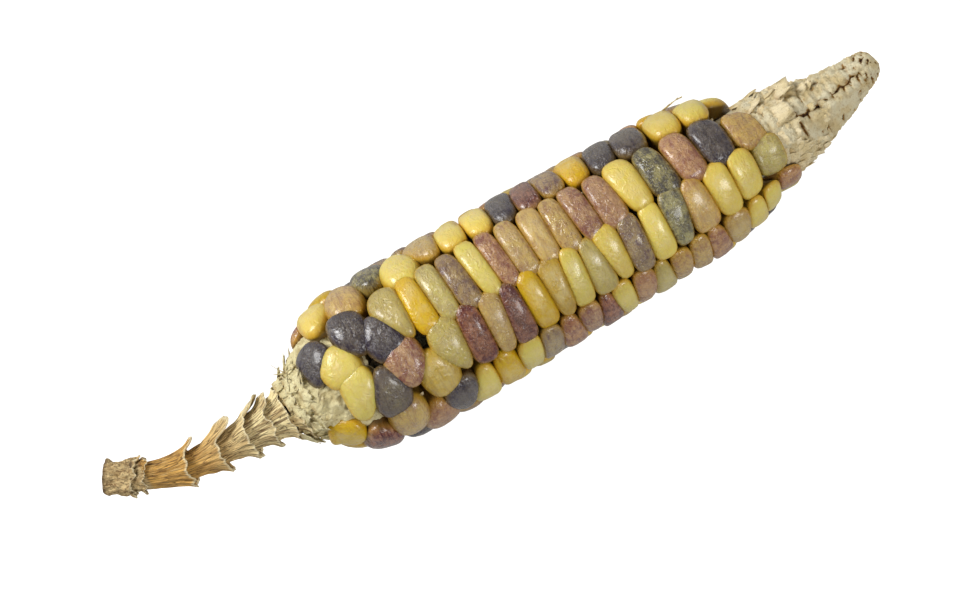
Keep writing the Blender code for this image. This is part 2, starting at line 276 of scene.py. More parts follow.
kernelSizes = {  # inputs of the kernel tree
    "Detail": 12, "Roundness": 4.3, "Corners": 8.0, "Wedge Roundness": 2.6, "Row Squeeze": 0.74,
    "Most Along": 4.3, "Most Across": 8.4, "Slimness": 0.62,
    "Crown Drop": 0.68, "Crown Share": 0.66, "Crown Slope": 0.6,
    "Long Fullness": 0.7, "Short Fullness": 0.8, "Top Flatness": 1.12, "Least Height": 2.4,
    "Root Radius": 8.4, "Root Narrowing": 0.3, "Lean": 5.0, "Lump Height": 0.22, "Lump Size": 2.6, "Seed": 3,
}
palette = {  # name: (share, tint, pigment, mottle, streak, share of the painted amber glow and shade on the rim)
    "cream": (25, (222, 202, 95), (198, 160, 66), 0.25, 0.35, 0.9),
    "khaki": (8, (188, 172, 95), (150, 126, 80), 0.40, 0.45, 0.75),
    "tan": (13, (200, 170, 99), (152, 110, 78), 0.55, 0.50, 0.75),
    "salmon": (14, (190, 150, 106), (136, 84, 70), 0.75, 0.55, 0.6),
    "mauve": (10, (170, 146, 104), (106, 77, 78), 0.70, 0.60, 0.55),
    "mottled": (8, (166, 156, 106), (74, 68, 62), 0.95, 0.65, 0.45),
    "golden": (7, (210, 174, 12), (182, 132, 0), 0.25, 0.40, 0.6),
    "amber": (4, (194, 162, 60), (146, 112, 44), 0.40, 0.50, 0.7),
    "maroon": (8, (156, 108, 84), (88, 36, 42), 0.90, 0.65, 0.4),
    "slate": (8, (102, 93, 88), (44, 33, 50), 0.85, 0.55, 0.25),
}


def layOutKernels():  # each row's kernels as (x, arc), crowding out of line at the butt
    rows = []
    for turn, (first, last, count, skew) in kernels["rows"].items():
        dice = random.Random(kernels["seed"] + int(turn))
        row = []
        for number in range(count):
            share = number / (count - 1)
            spread = share + skew * share * (1 - share)
            spread += kernels["pitchSpread"] * math.sin(2 * math.pi * share) / (2 * math.pi)
            pitch = (last - first) / (count - 1)
            x = first + (last - first) * spread + pitch * kernels["pitchJitter"] * dice.uniform(-1, 1)
            crowding = math.sin(math.pi * min(1.0, (number + 0.5) / kernels["buttKernels"]))
            side = -1 if number % 2 else 1
            shift = side * kernels["buttShift"] * crowding * dice.uniform(0.5, 1.1)
            shift += kernels["wander"] * dice.uniform(-1, 1)
            row.append((x, math.radians(turn) * kernels["rolledRadius"] + shift))
        rows.append(row)
    return rows


def pressures(rows, rowNumber, number):  # each way to a neighbour, over the room up to it
    x, here = rows[rowNumber][number]
    girth = 2 * math.pi * kernels["rolledRadius"]
    along, beside = [], []
    for otherRow, row in enumerate(rows):
        for other, (otherX, otherArc) in enumerate(row):
            way = Vector((otherX - x, (otherArc - here + girth / 2) % girth - girth / 2, 0))
            if not 0 < way.length < kernels["reach"]:
                continue
            if otherRow != rowNumber:
                beside.append(way.normalized() / (way.length / 2 - kernels["rowGap"] / 2))
            elif abs(other - number) == 1:
                aslant = 1 + kernels["slantRoom"] * abs(way.normalized().y)
                along.append(way.normalized() / (way.length / 2 * aslant + kernels["touch"]))
    if number == 0:
        along.append(Vector((-1 / kernels["endRoom"], 0, 0)))
    if number == len(rows[rowNumber]) - 1:
        along.append(Vector((1 / kernels["endRoom"], 0, 0)))
    beside.sort(key=lambda press: -press.length)
    beside += [Vector((0, 0, 0))] * kernels["beside"]
    return along[:2] + beside[:kernels["beside"]]


def earRadiusField(tree, x):
    reach = abs(x - ear["middle"])
    reach = (reach / ear["halfLength"]).atMost(ear["mostReach"])
    closing = calc(tree, "SQRT", 1.0 - reach ** ear["squareness"])
    beyond = x - ear["thickestX"]
    straight = calc(tree, "MULTIPLY_ADD", beyond, -ear["taper"], ear["thickestRadius"])
    return straight * closing


def kernelTree(material):
    tree, size, result = newGeometryTree("kernelRow", kernelSizes)
    cube = addNode(tree, "GeometryNodeMeshCube", {"Size": (2, 2, 2)})
    for way in "XYZ":
        join(tree, size["Detail"], cube.inputs["Vertices " + way])
    unit = calcVector(tree, "NORMALIZE", tree.nodes.new("GeometryNodeInputPosition").outputs[0])
    ball = storeNamed(tree, cube.outputs["Mesh"], "ball", unit, "FLOAT_VECTOR")
    copies = addNode(tree, "GeometryNodeInstanceOnPoints", {"Points": size["Geometry"], "Instance": ball})
    loose = addNode(tree, "GeometryNodeRealizeInstances", {"Geometry": copies.outputs["Instances"]})

    ballX, ballY, level = splitVector(tree, readNamed(tree, "ball", "FLOAT_VECTOR"))
    way = makeVector(tree, calc(tree, "MULTIPLY_ADD", ballX, size["Slimness"], 0.0001), ballY, 0.0)
    way = calcVector(tree, "NORMALIZE", way)
    wayX, wayY, _ = splitVector(tree, way)
    cap = abs(wayY) / kernels["mostArc"]
    groups = []
    for prefix, count, start, sharpness in (("along", 2, 0.0, size["Wedge Roundness"]),
                                            ("beside", kernels["beside"], cap, size["Corners"])):
        total = start ** sharpness
        for number in range(count):
            press = readNamed(tree, f"{prefix}{number}", "FLOAT_VECTOR")
            press = calcVector(tree, "DOT_PRODUCT", way, press).atLeast(0.0)
            if prefix == "beside":
                press = press * size["Row Squeeze"]
            total = total + press ** sharpness
        groups.append(total ** (size["Roundness"] / sharpness))
    inverse = -1.0 / size["Roundness"]
    room = calc(tree, "ADD", *groups) ** inverse
    limit = makeVector(tree, wayX / size["Most Along"], wayY / size["Most Across"], 0.0)
    limit = calcVector(tree, "LENGTH", limit) ** 8.0
    room = (room ** (-8.0) + limit) ** (-0.125)  # blunts far corners

    level = level.atMost(1.0)
    up = level.atLeast(0.0)
    down = (level * -1.0).atLeast(0.0)
    across = abs(wayY)
    fullness = addValue(tree, "ShaderNodeMix", {0: across, 2: size["Short Fullness"], 3: size["Long Fullness"]})
    flat = calc(tree, "SQRT", 1.0 - up * up)
    plan = flat.atLeast(0.0) ** fullness
    pinch = 1.0 - down * size["Root Narrowing"]
    depth = (down / 0.7).atMost(1.0)
    bottom = calc(tree, "GREATER_THAN", down, 0.985)  # the underside closes at its middle
    plan = plan * (1.0 - bottom)

    seat = splitVector(tree, readNamed(tree, "seat", "FLOAT_VECTOR"))
    offX = wayX * room * plan
    offArc = wayY * room * plan * pinch
    offX = calc(tree, "MULTIPLY_ADD", offArc, readNamed(tree, "slant"), offX)
    probe = calc(tree, "MULTIPLY_ADD", offX, size["Crown Slope"], seat[0])
    tall = earRadiusField(tree, probe) - size["Root Radius"] + seat[2]
    tall = tall.atLeast(size["Least Height"])
    breadth, tiltX, tiltArc = splitVector(tree, readNamed(tree, "build", "FLOAT_VECTOR"))
    drawn = breadth * size["Crown Drop"]
    most = drawn.atMost(tall * size["Crown Share"])
    drop = (1.0 - up) ** size["Top Flatness"]
    height = tall - most * drop
    height = height * (1.0 - depth)

    own = calcVector(tree, "SCALE", readNamed(tree, "seat", "FLOAT_VECTOR"), scale=7.31)
    where = calcVector(tree, "ADD", calcVector(tree, "SCALE", makeVector(tree, offX, offArc, size["Seed"]),
                                               scale=1.0 / size["Lump Size"]), own)
    lumps = addValue(tree, "ShaderNodeTexNoise", {"Vector": where, "Scale": 1.0, "Detail": 2.0})
    lump = (lumps - 0.5) * size["Lump Height"]
    lump = lump * 2.0 * (1.0 - depth)
    height = height + lump
    tilted = tiltX * offX + tiltArc * offArc
    height = height + tilted * (1.0 - depth)

    share = (seat[0] - ear["middle"]) / ear["halfLength"]
    fifth = abs(share) ** 5.0 * calc(tree, "SIGN", share)
    lean = fifth * size["Lean"] * depth
    x = seat[0] + offX - lean
    radius = height + size["Root Radius"]
    angle = (seat[1] + offArc) / kernels["rolledRadius"]
    spot = wrapAround(tree, x, angle, radius)
    own = (seat[0] + seat[1] * 3.1) * 1.7
    marked = storeNamed(tree, loose.outputs[0], "skin", makeVector(tree, offX, offArc, own), "FLOAT_VECTOR")
    marked = storeNamed(tree, marked, "crown", level)
    moved = addNode(tree, "GeometryNodeSetPosition", {"Geometry": marked, "Position": spot})
    dressed = addNode(tree, "GeometryNodeSetMaterial", {"Geometry": moved.outputs[0], "Material": material})
    tree.links.new(dressed.outputs[0], result)
    return tree


def kernelColours(turn, count):  # the row's colours, drawn by their shares, each a little off its neighbours'
    dice = random.Random(kernels["colourSeed"] + int(turn))
    drawn = []
    for _ in range(count):
        name = dice.choices(list(palette), [entry[0] for entry in palette.values()])[0]
        _, tint, pigment, mottle, streak, rim = palette[name]
        light = dice.uniform(0.88, 1.08)
        warmth = dice.uniform(-0.05, 0.05)
        shift = np.array([1 + warmth, 1.0, 1 - 2 * warmth]) * light
        habit = (mottle * dice.uniform(0.6, 1.25), streak * dice.uniform(0.5, 1.2), rim)
        drawn.append((np.array(fromScreen(*tint)) * shift, np.array(fromScreen(*pigment)) * shift, habit))
    return drawn


def buildKernels(material):
    rows = layOutKernels()
    tree = kernelTree(material)
    faceCount = 0
    for rowNumber, (turn, row) in enumerate(zip(kernels["rows"], rows)):
        dice = random.Random(kernels["seed"] * 100 + rowNumber)
        seats = [(x, arc, kernels["unevenness"] * dice.uniform(-1, 1)) for x, arc in row]
        presses = [pressures(rows, rowNumber, number) for number in range(len(row))]
        breadths = [1 / max(press.length for press in pressed[:2]) for pressed in presses]
        builds = [(breadth, dice.uniform(-1, 1) * kernels["tilt"], dice.uniform(-1, 1) * kernels["tilt"])
                  for breadth in breadths]
        slant = kernels["slants"][int(turn)]
        slants = [slant + kernels["slantSpread"] * dice.uniform(-1, 1) for _ in row]
        colours = kernelColours(turn, len(row))
        attributes = {"seat": ("FLOAT_VECTOR", seats), "build": ("FLOAT_VECTOR", builds),
                      "slant": ("FLOAT", slants),
                      "tint": ("FLOAT_COLOR", [(*tint, 1) for tint, _, _ in colours]),
                      "pigment": ("FLOAT_COLOR", [(*pigment, 1) for _, pigment, _ in colours]),
                      "habit": ("FLOAT_VECTOR", [habit for _, _, habit in colours])}
        for number in range(2 + kernels["beside"]):
            name = f"along{number}" if number < 2 else f"beside{number - 2}"
            attributes[name] = ("FLOAT_VECTOR", [tuple(press[number]) for press in presses])
        piece = newPiece(f"kernels_{rowNumber + 1}", [(0, 0, 0)] * len(row), attributes=attributes)
        runTree(piece, tree, {})
        for name in (*attributes, "ball"):
            if name not in ("tint", "pigment", "habit"):
                piece.data.attributes.remove(piece.data.attributes[name])
        settle(piece, f"kernel_row_{rowNumber + 1}")
        faceCount += len(piece.data.polygons)
    print("kernels:", sum(len(row) for row in rows), "faces:", faceCount)


def newMaterial(name, roughness):
    material = bpy.data.materials.new(name)
    material.use_nodes = True
    shader = material.node_tree.nodes["Principled BSDF"]
    shader.inputs["Roughness"].default_value = roughness
    return material, material.node_tree, shader


def shaderNoise(tree, vector, scale, detail=3.0, rough=0.55, distortion=0.0):
    return addValue(tree, "ShaderNodeTexNoise", {"Vector": vector, "Scale": scale, "Detail": detail,
                                                 "Roughness": rough, "Distortion": distortion})


def ramp(tree, value, low, high, least=0.0, most=1.0):  # eases from least to most between low and high
    inputs = {"Value": value, "From Min": low, "From Max": high, "To Min": least, "To Max": most}
    return addValue(tree, "ShaderNodeMapRange", inputs, interpolation_type="SMOOTHSTEP")


def mixColour(tree, share, a, b, blend="MIX"):
    a, b = (colour if isinstance(colour, Value) else (*fromScreen(*colour), 1) for colour in (a, b))
    return addValue(tree, "ShaderNodeMix", {0: share, 6: a, 7: b}, 2, data_type="RGBA", blend_type=blend)


def paint(tree, colour, layers):  # lays one tint after another over the colour, each by its share
    for share, tint in layers:
        colour = mixColour(tree, share, colour, tint)
    return colour


def readAttribute(tree, name, output="Vector"):
    return addValue(tree, "ShaderNodeAttribute", output=output, attribute_name=name)


def objectPlace(tree):  # the place on the object, in millimetres
    return calcVector(tree, "SCALE", addValue(tree, "ShaderNodeTexCoord", output="Object"), scale=1 / mm)


def cover(tree, shader, colour, height, depth):  # gives the shader its colour, and bumps of this depth
    bump = addValue(tree, "ShaderNodeBump", {"Height": height, "Strength": 1.0, "Distance": depth * mm})
    join(tree, colour, shader.inputs["Base Color"])
    join(tree, bump, shader.inputs["Normal"])


def dryGrainGroup():  # fibres along the first axis, pores and a height, shared by all that is dry
    group = bpy.data.node_groups.new("dryGrain", "ShaderNodeTree")
    group.interface.new_socket(name="Vector", in_out="INPUT", socket_type="NodeSocketVector")
    for name, value in (("Fineness", 1.0), ("Length", 6.0), ("Fibre Depth", 0.6)):
        socket = group.interface.new_socket(name=name, in_out="INPUT", socket_type="NodeSocketFloat")
        socket.default_value = value
    for name in ("Fibres", "Pores", "Patches", "Height"):
        group.interface.new_socket(name=name, in_out="OUTPUT", socket_type="NodeSocketFloat")
    given = namedValues(group, group.nodes.new("NodeGroupInput").outputs)
    made = group.nodes.new("NodeGroupOutput").inputs
    short = 1.0 / given["Length"]
    thread = calcVector(group, "MULTIPLY", given["Vector"], makeVector(group, short, 1.0, 1.0))
    wavy = calcVector(group, "SCALE", thread, scale=given["Fineness"])
    fibres = shaderNoise(group, wavy, 1.6, 4.0, 0.6, 0.5)
    even = calcVector(group, "SCALE", given["Vector"], scale=given["Fineness"])
    pores = shaderNoise(group, even, 2.4, 4.0, 0.7)
    patches = shaderNoise(group, even, 0.3, 3.0, 0.6)
    height = fibres * given["Fibre Depth"] + pores * (1.0 - given["Fibre Depth"])
    for value, name in ((fibres, "Fibres"), (pores, "Pores"), (patches, "Patches"), (height, "Height")):
        join(group, value, made[name])
    return group


dryGrain = dryGrainGroup()


def useGrain(tree, vector, fineness, length, fibreDepth):
    inputs = {"Vector": vector, "Fineness": fineness, "Length": length, "Fibre Depth": fibreDepth}
    return namedValues(tree, addNode(tree, "ShaderNodeGroup", inputs, node_tree=dryGrain).outputs)


cobLook = {
    "roughness": 0.9, "bump": 1.1,
    "pale": (255, 244, 208), "patches": (240, 218, 164), "pores": (186, 150, 88),
    "stains": (196, 146, 58), "poresAndCrackShade": (184, 136, 60), "crackShade": (66, 38, 14),
# the last two paint shade into the cracks and pits of the bare tip, amber at first and dark brown deep in them
}


def cobSkin():
    material, tree, shader = newMaterial("cobSkin", cobLook["roughness"])
    where = objectPlace(tree)
    grain = useGrain(tree, where, 1.1, 1.6, 0.35)
    deep = calc(tree, "MULTIPLY_ADD", grain["Pores"] - 0.5, 0.8, readAttribute(tree, "crack", "Fac"))
    colour = paint(tree, cobLook["pale"], [
        (ramp(tree, grain["Patches"], 0.35, 0.65), cobLook["patches"]),
        (ramp(tree, grain["Pores"], 0.52, 0.7, 0.0, 0.6), cobLook["pores"]),
        (ramp(tree, shaderNoise(tree, where, 0.42, 2.0), 0.68, 0.76, 0.0, 0.75), cobLook["stains"]),
        # painted shade in the cracks and pits, over the darker colour of the real pores
        (ramp(tree, deep, 0.18, 0.65), cobLook["poresAndCrackShade"]),
        (ramp(tree, deep, 0.55, 1.0), cobLook["crackShade"]),
    ])
    cover(tree, shader, colour, grain["Height"], cobLook["bump"])
    return material


paperLook = {
    "roughness": 0.85, "bump": 0.5,
    "chaffPaper": ((248, 232, 192), (224, 204, 154)),  # pale and dull
    "collarPaper": ((240, 230, 182), (212, 198, 148)),
    "fibres": (166, 138, 84), "pores": (134, 108, 64), "roots": (168, 132, 72), "ends": (238, 226, 192),
}


def paperSkin(name):
    material, tree, shader = newMaterial(name, paperLook["roughness"])
    pale, dull = paperLook[name]
    grain = useGrain(tree, objectPlace(tree), 1.2, 3.0, 0.6)
    along = splitVector(tree, readAttribute(tree, "leaf"))[0]
    colour = paint(tree, pale, [
        (ramp(tree, grain["Patches"], 0.35, 0.65), dull),
        (ramp(tree, grain["Fibres"], 0.5, 0.75, 0.0, 0.5), paperLook["fibres"]),
        (ramp(tree, grain["Pores"], 0.55, 0.7, 0.0, 0.55), paperLook["pores"]),
        (ramp(tree, along, 0.35, 0.0, 0.0, 0.5), paperLook["roots"]),
        (ramp(tree, along, 0.85, 1.0, 0.0, 0.45), paperLook["ends"]),
    ])
    cover(tree, shader, colour, grain["Height"], paperLook["bump"])
    return material


shankLook = {
    "roughness": 0.75, "bump": 0.6,
    "old": (232, 180, 92), "young": (252, 234, 178), "stub": (226, 200, 146),
    "stripes": (150, 108, 52), "fibres": (112, 76, 34), "threads": (222, 188, 126), "pores": (120, 88, 46),
    "veins": (84, 52, 20), "spots": (104, 76, 42),
    # foot paints shade at the foot of each sheath, under the rim of the one before
    # inside paints shade on the inner faces of the sheaths
    # tornEdgeAndHighlight is the pale torn rim, partly its real colour, partly a painted highlight
    "footShade": (84, 56, 26), "tornEdgeAndHighlight": (248, 234, 192), "inside": (62, 42, 20),
}


def shankSkin():
    material, tree, shader = newMaterial("shankSkin", shankLook["roughness"])
    grainAt, rim = readAttribute(tree, "grain"), readAttribute(tree, "rim", "Fac")
    along = splitVector(tree, objectPlace(tree))[0]
    grain = useGrain(tree, grainAt, 1.5, 7.0, 0.85)
    broad = useGrain(tree, grainAt, 0.55, 5.0, 0.8)
    stub = ramp(tree, along, -77.6, -78.6)
    thread = shaderNoise(tree, calcVector(tree, "MULTIPLY", grainAt, (0.09, 1.0, 1.0)), 1.5, 1.0, 0.5, 0.25)
    veins = ramp(tree, abs(thread - 0.5), 0.0, 0.036, 1.0, 0.0) * calc(tree, "MULTIPLY_ADD", stub, -0.3, 0.85)
    colour = paint(tree, shankLook["old"], [
        (ramp(tree, along, -70, -53), shankLook["young"]),
        (stub, shankLook["stub"]),
        (ramp(tree, broad["Fibres"], 0.42, 0.62, 0.0, 0.55), shankLook["stripes"]),
        (ramp(tree, grain["Fibres"], 0.5, 0.64, 0.0, 0.75), shankLook["fibres"]),
        (ramp(tree, grain["Fibres"], 0.46, 0.32, 0.0, 0.7), shankLook["threads"]),
        (ramp(tree, grain["Pores"], 0.56, 0.7, 0.0, 0.4), shankLook["pores"]),
        (veins, shankLook["veins"]),
        (stub * ramp(tree, broad["Pores"], 0.52, 0.7, 0.0, 0.5), shankLook["spots"]),
        # painted shade at the foot of each sheath, under the rim of the one before
        (ramp(tree, rim, 0.14, 0.02, 0.0, 0.75), shankLook["footShade"]),
        # the pale torn rim of each sheath, partly its real colour, partly a painted highlight
        (ramp(tree, rim, 0.92, 1.0, 0.0, 0.8), shankLook["tornEdgeAndHighlight"]),
        # painted shade on the inner faces of the sheaths, deepest far from the torn rim
        (readAttribute(tree, "inside", "Fac") * ramp(tree, rim, 0.95, 0.3, 0.0, 0.85), shankLook["inside"]),
    ])
    cover(tree, shader, colour, grain["Height"] - veins * 0.25, shankLook["bump"])
    return material


skinLook = {
    "roughness": 0.2, "coat": 0.42, "coatRoughness": 0.17, "wrinkle": 0.4,
    "glow": 0.4, "glowDepth": 1.2, "glowReach": (1.0, 0.76, 0.28),
    # amber darkens and edge lights the kernel rims: a painted glow and shade there
    # crevice is painted shade low on the kernels, in the valleys between them
    # pale is partly the kernels' real pale starch crown, partly a painted highlight on their lit tops
    "amber": (238, 206, 128), "edge": (218, 178, 52), "creviceShade": (88, 58, 20), "pale": (232, 218, 160),
}


def kernelSkin():
    material, tree, shader = newMaterial("kernelSkin", skinLook["roughness"])
    skin, crown = readAttribute(tree, "skin"), readAttribute(tree, "crown", "Fac")
    mottle, streak, rimGlowShare = splitVector(tree, readAttribute(tree, "habit"))
    stretched = calcVector(tree, "MULTIPLY", skin, (1.7, 0.28, 1.0))
    blotches = shaderNoise(tree, skin, 0.5, 4.0, 0.62, 0.5)
    streaks = shaderNoise(tree, stretched, 1.0, 4.0, 0.6, 0.3)
    specks = shaderNoise(tree, skin, 2.6, 3.0, 0.7)
    cloud = calc(tree, "MULTIPLY_ADD", specks - 0.5, 0.35, blotches)
    marks = ramp(tree, cloud, 0.34, 0.68) * mottle
    lines = ramp(tree, streaks, 0.44, 0.66) * (streak * 0.8)
    dots = ramp(tree, specks, 0.56, 0.7) * (mottle * 0.45)
    marks = calc(tree, "ADD", marks + lines, dots, clamp=True)
    tint, pigment = readAttribute(tree, "tint", "Color"), readAttribute(tree, "pigment", "Color")
    colour = mixColour(tree, marks, tint, pigment)
    # a paler crown: partly the real pale starch, partly a painted highlight on the lit top
    pale = ramp(tree, crown, 0.7, 1.0) * ramp(tree, blotches, 0.35, 0.65, 0.05, 0.4)
    pale = pale * ramp(tree, mottle, 0.25, 0.7, 1.0, 0.15)
    colour = mixColour(tree, pale, colour, skinLook["pale"])
    # painted amber glow and shade on the steep sides of each kernel, as much as its rim share
    rim = ramp(tree, crown, 0.74, 0.14) * rimGlowShare
    colour = mixColour(tree, rim, colour, skinLook["amber"], "MULTIPLY")
    colour = mixColour(tree, rim * 0.62, colour, skinLook["edge"])
    # painted shade low on each kernel, down in the valleys between the kernels
    colour = mixColour(tree, ramp(tree, crown, 0.14, -0.1, 0.0, 0.75), colour, skinLook["creviceShade"])
    stretch = calcVector(tree, "MULTIPLY", skin, (1.0, 0.78, 1.0))
    folds = shaderNoise(tree, stretch, 0.85, 2.0, 0.5, 1.6)
    crinkles = shaderNoise(tree, stretch, 2.0, 2.0, 0.5, 1.0)
    shrivelled = ramp(tree, shaderNoise(tree, skin, 0.22, 2.0), 0.4, 0.62, 0.3, 1.25)
    crinkles = crinkles * (shrivelled * 0.5)
    height = folds * 0.9 + crinkles
    height = height * ramp(tree, mottle, 0.15, 0.8, 0.6, 1.25)  # pale kernels are the smoothest
    cover(tree, shader, colour, height, skinLook["wrinkle"])
    rough = ramp(tree, mottle, 0.15, 0.8, skinLook["roughness"] + 0.06, skinLook["roughness"] - 0.08)
    finish = {"Roughness": calc(tree, "MULTIPLY_ADD", blotches, 0.16, rough),
              "Coat Weight": skinLook["coat"], "Coat Roughness": skinLook["coatRoughness"],
              "Subsurface Weight": skinLook["glow"], "Subsurface Radius": skinLook["glowReach"],
              "Subsurface Scale": skinLook["glowDepth"] * mm}
    for name, value in finish.items():
        join(tree, value, shader.inputs[name])
    return material


buildKernels(kernelSkin())


# the cob that carries them, bare at the tip

cob = {
    "profile": [(-50, 5.6), (-49, 7.0), (-46, 8.4), (-42, 8.3), (-36, 7.9), (44, 7.9), (50, 8.1), (57, 8.0),
                (62, 6.7), (67, 5.2), (72, 4.1), (77, 3.1), (79.6, 2.5), (80.4, 1.6)],
    "turns": 180,
    "fineStep": 0.22,  # between rings at the bare ends
    "coarseStep": 3.0,
    "lumpPitch": 3.0,
    "lumpRise": 1.25,
    "firstLump": 3.2,
    "lumpsEnd": 79.0,
    "seamTurn": 1.0,  # the long crack between two rows of cupules
    "seamFrom": 61.2,
    "splitX": 61.0,  # the short crack across the others
    "splitTurn": -8.0,
    "splitHalf": 24.0,
    "pitLevel": 0.35,  # lower for more pores at the blunt end
    "bareFrom": 46.0,
    "seed": 7,
}


def cobRadius(x):
    along, radius = zip(*cob["profile"])
    return np.interp(x, along, radius)


def smoothNoise(points, scale, seed, octaves=3):  # soft value noise from a few seeded waves
    dice = np.random.default_rng(seed)
    total = np.zeros(len(points))
    for octave in range(octaves):
        for _ in range(6):
            way = dice.normal(size=3)
            way /= np.linalg.norm(way)
            phase = points @ way * (2 ** octave) * 2 * np.pi / scale + dice.uniform(0, 6.28)
            total += np.sin(phase) / 2 ** octave / 4
    return total


def layOutLumps():  # empty cupules beyond the last kernels of each row, in the same rows and a little uneven
    dice = random.Random(cob["seed"])
    lumps = []
    for turn, (_, last, _, _) in kernels["rows"].items():
        x = last + cob["firstLump"]
        while x < cob["lumpsEnd"]:
            radius = float(cobRadius(x))
            lumps.append((x + dice.uniform(-0.3, 0.3), turn + dice.uniform(-5, 5), dice.uniform(0.75, 1.1)))
            x += cob["lumpPitch"] * dice.uniform(0.85, 1.15) * (0.62 + radius / 18)
    return np.array(lumps)


def lumpField(x, turn):  # height of the cupules at each place, and how deep it lies in a crack between them
    height, crack = np.zeros((2, len(x)))
    bare = x > cob["bareFrom"]
    x, turn = x[bare], turn[bare]
    radius = cobRadius(x)
    grid = np.stack([x, np.radians(turn) * radius, radius], 1)
    wobble = 0.5 * smoothNoise(grid, 2.3, 3)
    room = np.pi * radius / len(kernels["rows"])
    spacing = []
    for lumpX, lumpTurn, size in layOutLumps():
        away = np.radians(turnsFrom(lumpTurn, turn)) * radius
        spacing.append(np.hypot((x - lumpX) / 1.45, away / room * 1.1) / size)
    spacing = np.sort(np.array(spacing), 0)[:2]
    nearest, gap = spacing[0] + 0.2 * wobble, spacing[1] - spacing[0] + 0.6 * wobble
    seam = np.exp(-((np.radians(turnsFrom(cob["seamTurn"], turn)) * radius / 1.2) ** 2)) * (x > cob["seamFrom"])
    split = np.exp(-(((x - cob["splitX"] - 0.6 * wobble) / 0.3) ** 2))
    split = split * (abs(turnsFrom(cob["splitTurn"], turn)) < cob["splitHalf"])
    pits = np.clip(smoothNoise(grid, 1.5, 31) - cob["pitLevel"], 0, 0.4) / 0.4
    pits = pits * np.clip((x - 73) / 5 + 0.5 * seam, 0, 1)
    openness = np.clip(1.3 * smoothNoise(grid, 5.0, 21, 2) + 0.25, 0, 1)
    openness = np.maximum(openness, seam) * np.clip((cob["lumpsEnd"] - x) / 3, 0, 1)
    dome = np.sqrt(np.clip(1 - (nearest * 0.8) ** 2, 0, 1))
    rim = np.clip(gap / 0.4, 0, 1)
    rim = 1 - (1 - rim * rim * (3 - 2 * rim)) * openness
    rim = np.minimum(rim, 1 - split)
    fade = np.clip((x - 50) / 3, 0, 1)
    rise = fade * cob["lumpRise"] * (dome * 0.45 + 0.55) * (0.25 + 0.75 * rim) - 0.2 * (1 - rim)
    height[bare] = rise * np.clip(radius / 5.5, 0.6, 1) - 0.6 * pits
    # the crack share also paints shade into the cob's colour
    crack[bare] = np.maximum(fade * (1 - rim) ** 1.5, pits)
    return height, crack


def buildCobBody(material):
    (firstX, _), (lastX, _) = cob["profile"][0], cob["profile"][-1]
    alongX = [firstX]
    while alongX[-1] < lastX:
        fine = alongX[-1] < -38 or alongX[-1] > 48
        alongX.append(min(lastX, alongX[-1] + (cob["fineStep"] if fine else cob["coarseStep"])))
    count, rings = cob["turns"], len(alongX)
    turns = np.arange(count) * 360 / count
    x, turn = (grid.ravel() for grid in np.meshgrid(alongX, turns, indexing="ij"))
    height, crack = lumpField(x, turn)
    spots = place(x, turn, cobRadius(x)) / mm
    height += 0.24 * smoothNoise(spots, 1.5, 11) * np.clip((x - 50) / 4, 0.25, 1)
    butt = np.clip((-44 - x) / 3, 0, 1)
    height += butt * (0.5 * smoothNoise(spots, 4.5, 12) - 0.2)
    ending = np.clip((lastX - x) / 2.2, 0, 1)  # the last lumps sink into the blunt end
    points = place(x, turn, np.maximum(cobRadius(x) + height * (0.3 + 0.7 * ending), 0.4))
    caps = []  # both ends close with rings drawn in to the middle
    for row in (0, rings - 1):
        ring = points[row * count:(row + 1) * count]
        middle = ring.mean(0)
        for share in (0.75, 0.5, 0.25, 0.0):
            inner = middle + (ring - middle) * max(share, 0.02)
            jitter = smoothNoise(inner / mm, 0.9, 5 + row)[:, None] * np.array([0.25, 0, 0]) * mm
            caps.append(inner - abs(jitter) * (1 if row else -1))
    allPoints = np.concatenate([points] + caps)
    # the end caps take a fixed share of the crack, so of its painted shade
    crack = np.concatenate([crack, 0.35 * np.ones(len(allPoints) - len(crack))])
    faces = []

    def bridge(rows, flip):  # joins each row of corners to the next one on the list
        for near, far in zip(rows, rows[1:]):
            for side in range(count):
                after = (side + 1) % count
                face = (near * count + side, near * count + after, far * count + after, far * count + side)
                faces.append(face[::-1] if flip else face)

    def close(row, flip):
        corners = tuple(row * count + side for side in range(count))
        faces.append(corners[::-1] if flip else corners)

    bridge(range(rings), True)
    bridge([0, *range(rings, rings + 4)], False)
    close(rings + 3, False)
    bridge([rings - 1, *range(rings + 4, rings + 8)], True)
    close(rings + 7, True)
    return newSkinnedPiece("cobBody", allPoints, faces, {"crack": ("FLOAT", crack)}, material)


# chaff: papery flakes, each a leaf on the curve of the ear

flakeSizes = {"Columns": 7, "Rows": 6, "Thickness": 0.09, "Pinch": 0.35, "Tear": 0.45, "Crumple": 0.35}


